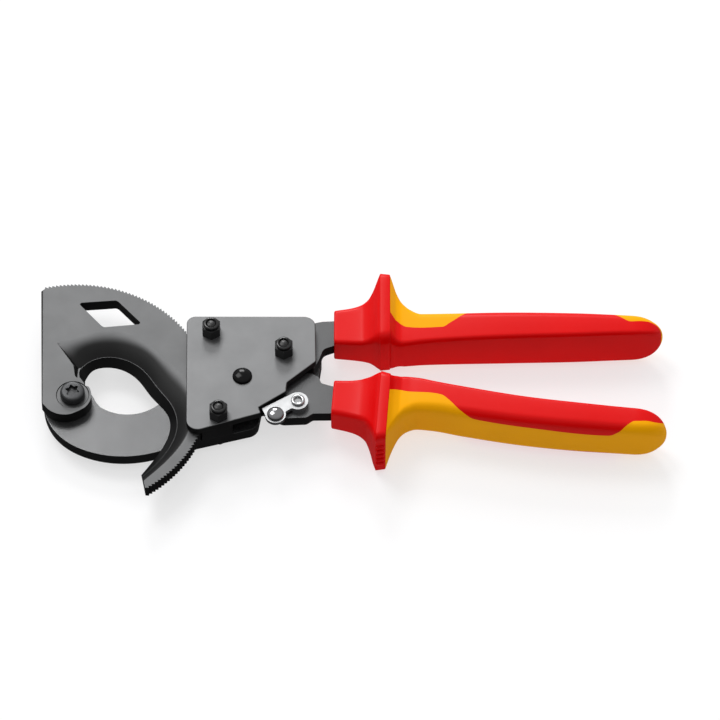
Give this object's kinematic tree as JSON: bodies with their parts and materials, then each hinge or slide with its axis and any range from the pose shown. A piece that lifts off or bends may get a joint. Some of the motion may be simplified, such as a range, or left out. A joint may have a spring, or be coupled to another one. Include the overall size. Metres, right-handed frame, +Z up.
{
  "type": "cable cutter",
  "caption": "Insulated ratchet cable cutter: a toothed curved blade swings over a crescent fixed blade, worked by pawls from a pivoting lower handle, with two-colour grips and a lock lever.",
  "frame": {"origin": "on the moving blade's pivot axis, at the bottom of the pivot nut, in the plane that the tool lies on", "axes": "+X from the blades towards the handle ends, +Y towards the fixed upper handle, +Z up out of the front plate along every pivot axis"},
  "size_m": [0.2493, 0.0984, 0.0253],
  "materials": {
    "steel_dark": "satin grey, burnished",
    "steel_black": "black oxide, satin",
    "steel_bright": "bright zinc plate",
    "spring_steel": "plain spring steel",
    "grip_red": "satin moulded",
    "grip_yellow": "satin moulded, slightly soft"
  },
  "bodies": {
    "housing": {"fixed_blade": "steel_dark", "front_plate": "steel_dark", "spacer_block": "steel_black", "upper_arm": "steel_dark", "arm_shims": "steel_black", "housing_bolts": "steel_black", "lock_nuts": "steel_black", "pivot_screw": "steel_black", "pivot_nut": "steel_black", "handle_pin": "steel_black", "holding_pawl_pin": "steel_black", "holding_pawl_spring": "spring_steel", "upper_grip": "grip_red", "upper_grip_inlay": "grip_yellow", "handle_spring": "spring_steel"},
    "blade": {"moving_blade": "steel_dark"},
    "handle": {"lower_arm": "steel_dark", "lower_grip": "grip_red", "lower_grip_inlay": "grip_yellow", "feed_pawl_pin": "steel_black", "feed_pawl_spring": "spring_steel", "lever_rivet": "steel_bright", "lever_washer": "steel_bright"},
    "lever": {"lock_lever": "steel_bright", "lock_button": "steel_bright"},
    "feeder": {"feed_pawl": "steel_black"},
    "holder": {"holding_pawl": "steel_black"}
  },
  "joints": [
    {"name": "blade_swing", "type": "hinge", "parent": "housing", "child": "blade", "pos_m": [0, 0, 0.0126], "axis": [0, 0, 1], "range_deg": [-80, 115]},
    {"name": "handle_swing", "type": "hinge", "parent": "housing", "child": "handle", "pos_m": [0.0673, 0.0064, 0.0124], "axis": [0, 0, 1], "range_deg": [-28, 0], "deforming": ["handle_spring"]},
    {"name": "lock_lever_swing", "type": "hinge", "parent": "handle", "child": "lever", "pos_m": [0.0894, -0.0044, 0.0168], "axis": [0, 0, 1], "range_deg": [0, 70]},
    {"name": "feed_pawl_swing", "type": "hinge", "parent": "handle", "child": "feeder", "pos_m": [0.0603, 0.0045, 0.0137], "axis": [0, 0, 1], "range_deg": [0, 28], "deforming": ["feed_pawl_spring"]},
    {"name": "holding_pawl_swing", "type": "hinge", "parent": "housing", "child": "holder", "pos_m": [0.0605, 0.0205, 0.0137], "axis": [0, 0, 1], "range_deg": [0, 10], "stiffness_Nm_per_rad": 0.01, "springref_deg": -11.46, "deforming": ["holding_pawl_spring"]}
  ],
  "couplings": [
    {"joint": "lock_lever_swing", "follows": "handle_swing", "ratio": -2.5},
    {"joint": "feed_pawl_swing", "follows": "handle_swing", "ratio": -1}
  ]
}
